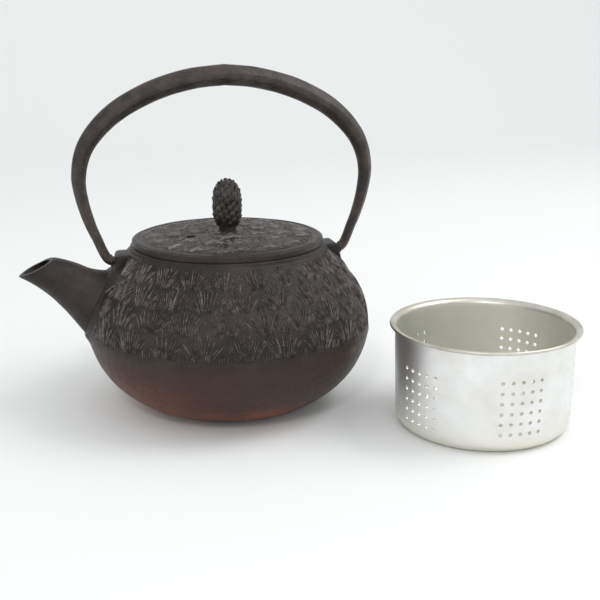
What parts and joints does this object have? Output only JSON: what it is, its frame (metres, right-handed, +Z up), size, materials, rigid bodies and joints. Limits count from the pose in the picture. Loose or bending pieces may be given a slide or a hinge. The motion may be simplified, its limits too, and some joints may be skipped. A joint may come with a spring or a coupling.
{
  "type": "teapot with infuser basket",
  "caption": "Small cast-iron teapot with a flat lid, a swinging bail handle and a perforated infuser basket that lifts out and stands beside it.",
  "frame": {"origin": "centre of the pot's flat base, on the table", "axes": "+Z up, spout towards -X, the handle's hinge along X, the basket stands towards +X and -Y"},
  "size_m": [0.2532, 0.1776, 0.1651],
  "materials": {
    "cast_iron_body": "dark lacquered cast iron, worn to brown at the waist",
    "cast_iron_lid": "dark lacquered cast iron",
    "cast_iron_knob": "dark lacquered cast iron",
    "steel_washer": "plain steel",
    "iron_handle": "dark lacquered iron, smooth",
    "aluminium_basket": "bare spun aluminium, satin"
  },
  "bodies": {
    "pot": {"pot_body": "cast_iron_body"},
    "lid": {"lid": "cast_iron_lid", "lid_knob": "cast_iron_knob", "knob_washer": "steel_washer"},
    "handle": {"bail_handle": "iron_handle"},
    "infuser": {"infuser_basket": "aluminium_basket"}
  },
  "joints": [
    {"name": "lid_lift", "type": "slide", "parent": "pot", "child": "lid", "axis": [0, 0, 1], "range_m": [0, 0.04]},
    {"name": "handle_swing", "type": "hinge", "parent": "pot", "child": "handle", "pos_m": [0, 0, 0.0742], "axis": [1, 0, 0], "range_deg": [-80, 80]},
    {"name": "infuser_lift", "type": "slide", "parent": "pot", "child": "infuser", "axis": [0, 0, 1], "range_m": [0, 0.1]}
  ]
}
